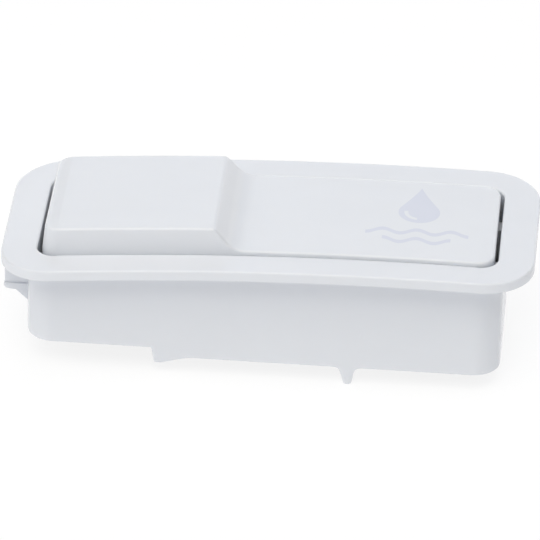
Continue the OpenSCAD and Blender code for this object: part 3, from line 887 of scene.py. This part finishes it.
# CAD nodes that stay: finish, and their sharp edges rounded
for name, mat, width in (("spring_bridge", inner_mat, 0.14), ("bridge_screw_front", screw_mat, 0.06),
                         ("bridge_screw_rear", screw_mat, 0.06), ("hinge_pin", pin_mat, 0.0)):
    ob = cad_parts[name]
    ob.data.materials.clear()
    ob.data.materials.append(mat)
    if width:
        bev = ob.modifiers.new("edges", "BEVEL")
        bev.width = width * MM
        bev.segments = 2
        bev.limit_method = "ANGLE"
        bev.angle_limit = math.radians(40)
        bev.harden_normals = False
        wn = ob.modifiers.new("normals", "WEIGHTED_NORMAL")
        wn.keep_sharp = True


# ---------------------------------------------------------------- floor, light, camera
def make_floor():
    z = (RIM_R - PEG_H) * MM - 0.00002
    me = bpy.data.meshes.new("studio_floor")
    s = 4.0
    me.from_pydata([(-s, -s, z), (s, -s, z), (s, s, z), (-s, s, z)], [], [(0, 1, 2, 3)])
    ob = bpy.data.objects.new("studio_floor", me)
    bpy.context.scene.collection.objects.link(ob)
    m, k, b, co = new_material("studio_floor_light_table")
    tone = k.noise(co, 9.0, 2.0)
    k.put(b.inputs["Base Color"], k.mix(tone, (0.16, 0.16, 0.16), (0.17, 0.17, 0.17)))
    k.put(b.inputs["Roughness"], k.map(k.noise(co, 60.0, 2.0), 0.0, 1.0, 0.85, 0.95))
    b.inputs["Specular IOR Level"].default_value = 0.1
    # a light table: white from every side, with the object's soft shadow kept faint
    b.inputs["Emission Color"].default_value = (1.0, 1.0, 1.0, 1.0)
    b.inputs["Emission Strength"].default_value = 0.85
    me.materials.append(m)


def make_shade_card():
    """Black card inside the open box, above its rim, which keeps the table's light out of it. Its black face is painted
    shade: it stands in for the dark inside of the box, seen through the gaps round the plate. The pusher has a hole in
    it.
    """
    z = (RIM_L + 0.4) * MM
    xs = [v * MM for v in (-OL / 2 + 0.4, ROD_X - 5.0, ROD_X + 6.5, OL / 2 - 0.4)]
    ys = [v * MM for v in (-OW / 2 + 0.4, -5.0, 5.0, OW / 2 - 0.4)]
    me = bpy.data.meshes.new("studio_shade_card")
    me.from_pydata([(x, y, z) for y in ys for x in xs], [],
                   [(4 * j + i, 4 * j + i + 1, 4 * j + i + 5, 4 * j + i + 4) for j in range(3) for i in range(3) if (i, j) != (1, 1)])
    ob = bpy.data.objects.new("studio_shade_card", me)
    bpy.context.scene.collection.objects.link(ob)
    m, k, b, co = new_material("studio_black_shade_card")
    fibre = k.noise(k.scaled(co, (1.0, 3.0, 1.0)), 700.0, 3.0)
    # painted shade: the card's near-black face stands in for the shade inside the box
    k.put(b.inputs["Base Color"], k.mix(fibre, (0.018, 0.018, 0.019), (0.03, 0.03, 0.031)))
    k.put(b.inputs["Roughness"], k.map(fibre, 0.3, 0.7, 0.85, 0.95))
    me.materials.append(m)


make_floor()
make_shade_card()

scene = bpy.context.scene
world = bpy.data.worlds.new("studio")
scene.world = world
world.use_nodes = True
bg = world.node_tree.nodes["Background"]
bg.inputs[0].default_value = (1.0, 1.0, 1.0, 1.0)
bg.inputs[1].default_value = 0.10


def area(name, loc, aim, size, power, colour=(1, 1, 1)):
    l = bpy.data.lights.new(name, "AREA")
    l.shape = "RECTANGLE"
    l.size, l.size_y = size
    l.energy = power
    l.color = colour
    ob = bpy.data.objects.new(name, l)
    ob.location = loc
    ob.rotation_mode = "QUATERNION"
    ob.rotation_quaternion = (Vector(aim) - Vector(loc)).to_track_quat("-Z", "Y")
    scene.collection.objects.link(ob)


# soft boxes round the object: direction, size, power and a slight tint
for name, way, size, power, tint in (("overhead_softbox", (0.0, 0.0, 1.0), (1.45, 1.45), 4.6, (1.07, 1.0, 0.955)),
                                     ("front_softbox", (-0.05, -0.5, 0.9), (0.95, 0.95), 10.8, (1.02, 1.0, 0.91)),
                                     ("front_fill", (-0.1, -0.9, 0.75), (1.2, 1.2), 2.5, (0.95, 1.0, 1.15)),
                                     ("left_softbox", (-1.0, -0.3, 0.65), (1.2, 1.2), 5.9, (1.01, 1.0, 1.0)),
                                     ("right_softbox", (0.7, 0.05, 1.0), (0.95, 0.95), 3.0, (0.99, 1.0, 1.11)),
                                     ("back_softbox", (0.1, 1.0, 0.75), (1.2, 1.2), 3.9, (0.91, 1.0, 1.14)),
                                     ("backdrop", (0.0, 1.0, 0.14), (2.2, 0.6), 6.2, (1.0, 1.0, 1.0))):
    area(name, Vector(way).normalized() * 1.6, (0, 0, 0), size, power, tint)

cam = bpy.data.cameras.new("camera")
cam.sensor_width = 36.0
cam.lens = 6172.33 / 540 * 36.0
cam.clip_start, cam.clip_end = 0.05, 20.0
cam_ob = bpy.data.objects.new("camera", cam)
scene.collection.objects.link(cam_ob)
azim, elev, roll = math.radians(3.9916), math.radians(31.0), math.radians(1.419)
back = Vector((math.sin(azim) * math.cos(elev), -math.cos(azim) * math.cos(elev), math.sin(elev)))
right = Vector((math.cos(azim), math.sin(azim), 0))
up = back.cross(right)
right2 = right * math.cos(roll) + up * math.sin(roll)
up2 = -right * math.sin(roll) + up * math.cos(roll)
target = Vector((-0.2566, 0.0, -15.1487 + 3.299)) * MM
place = target + back * 1401.305 * MM
cam_ob.matrix_world = Matrix(((right2.x, up2.x, back.x, place.x), (right2.y, up2.y, back.y, place.y),
                              (right2.z, up2.z, back.z, place.z), (0, 0, 0, 1)))
scene.camera = cam_ob
scene.view_settings.view_transform = "Standard"

bpy.context.view_layer.update()
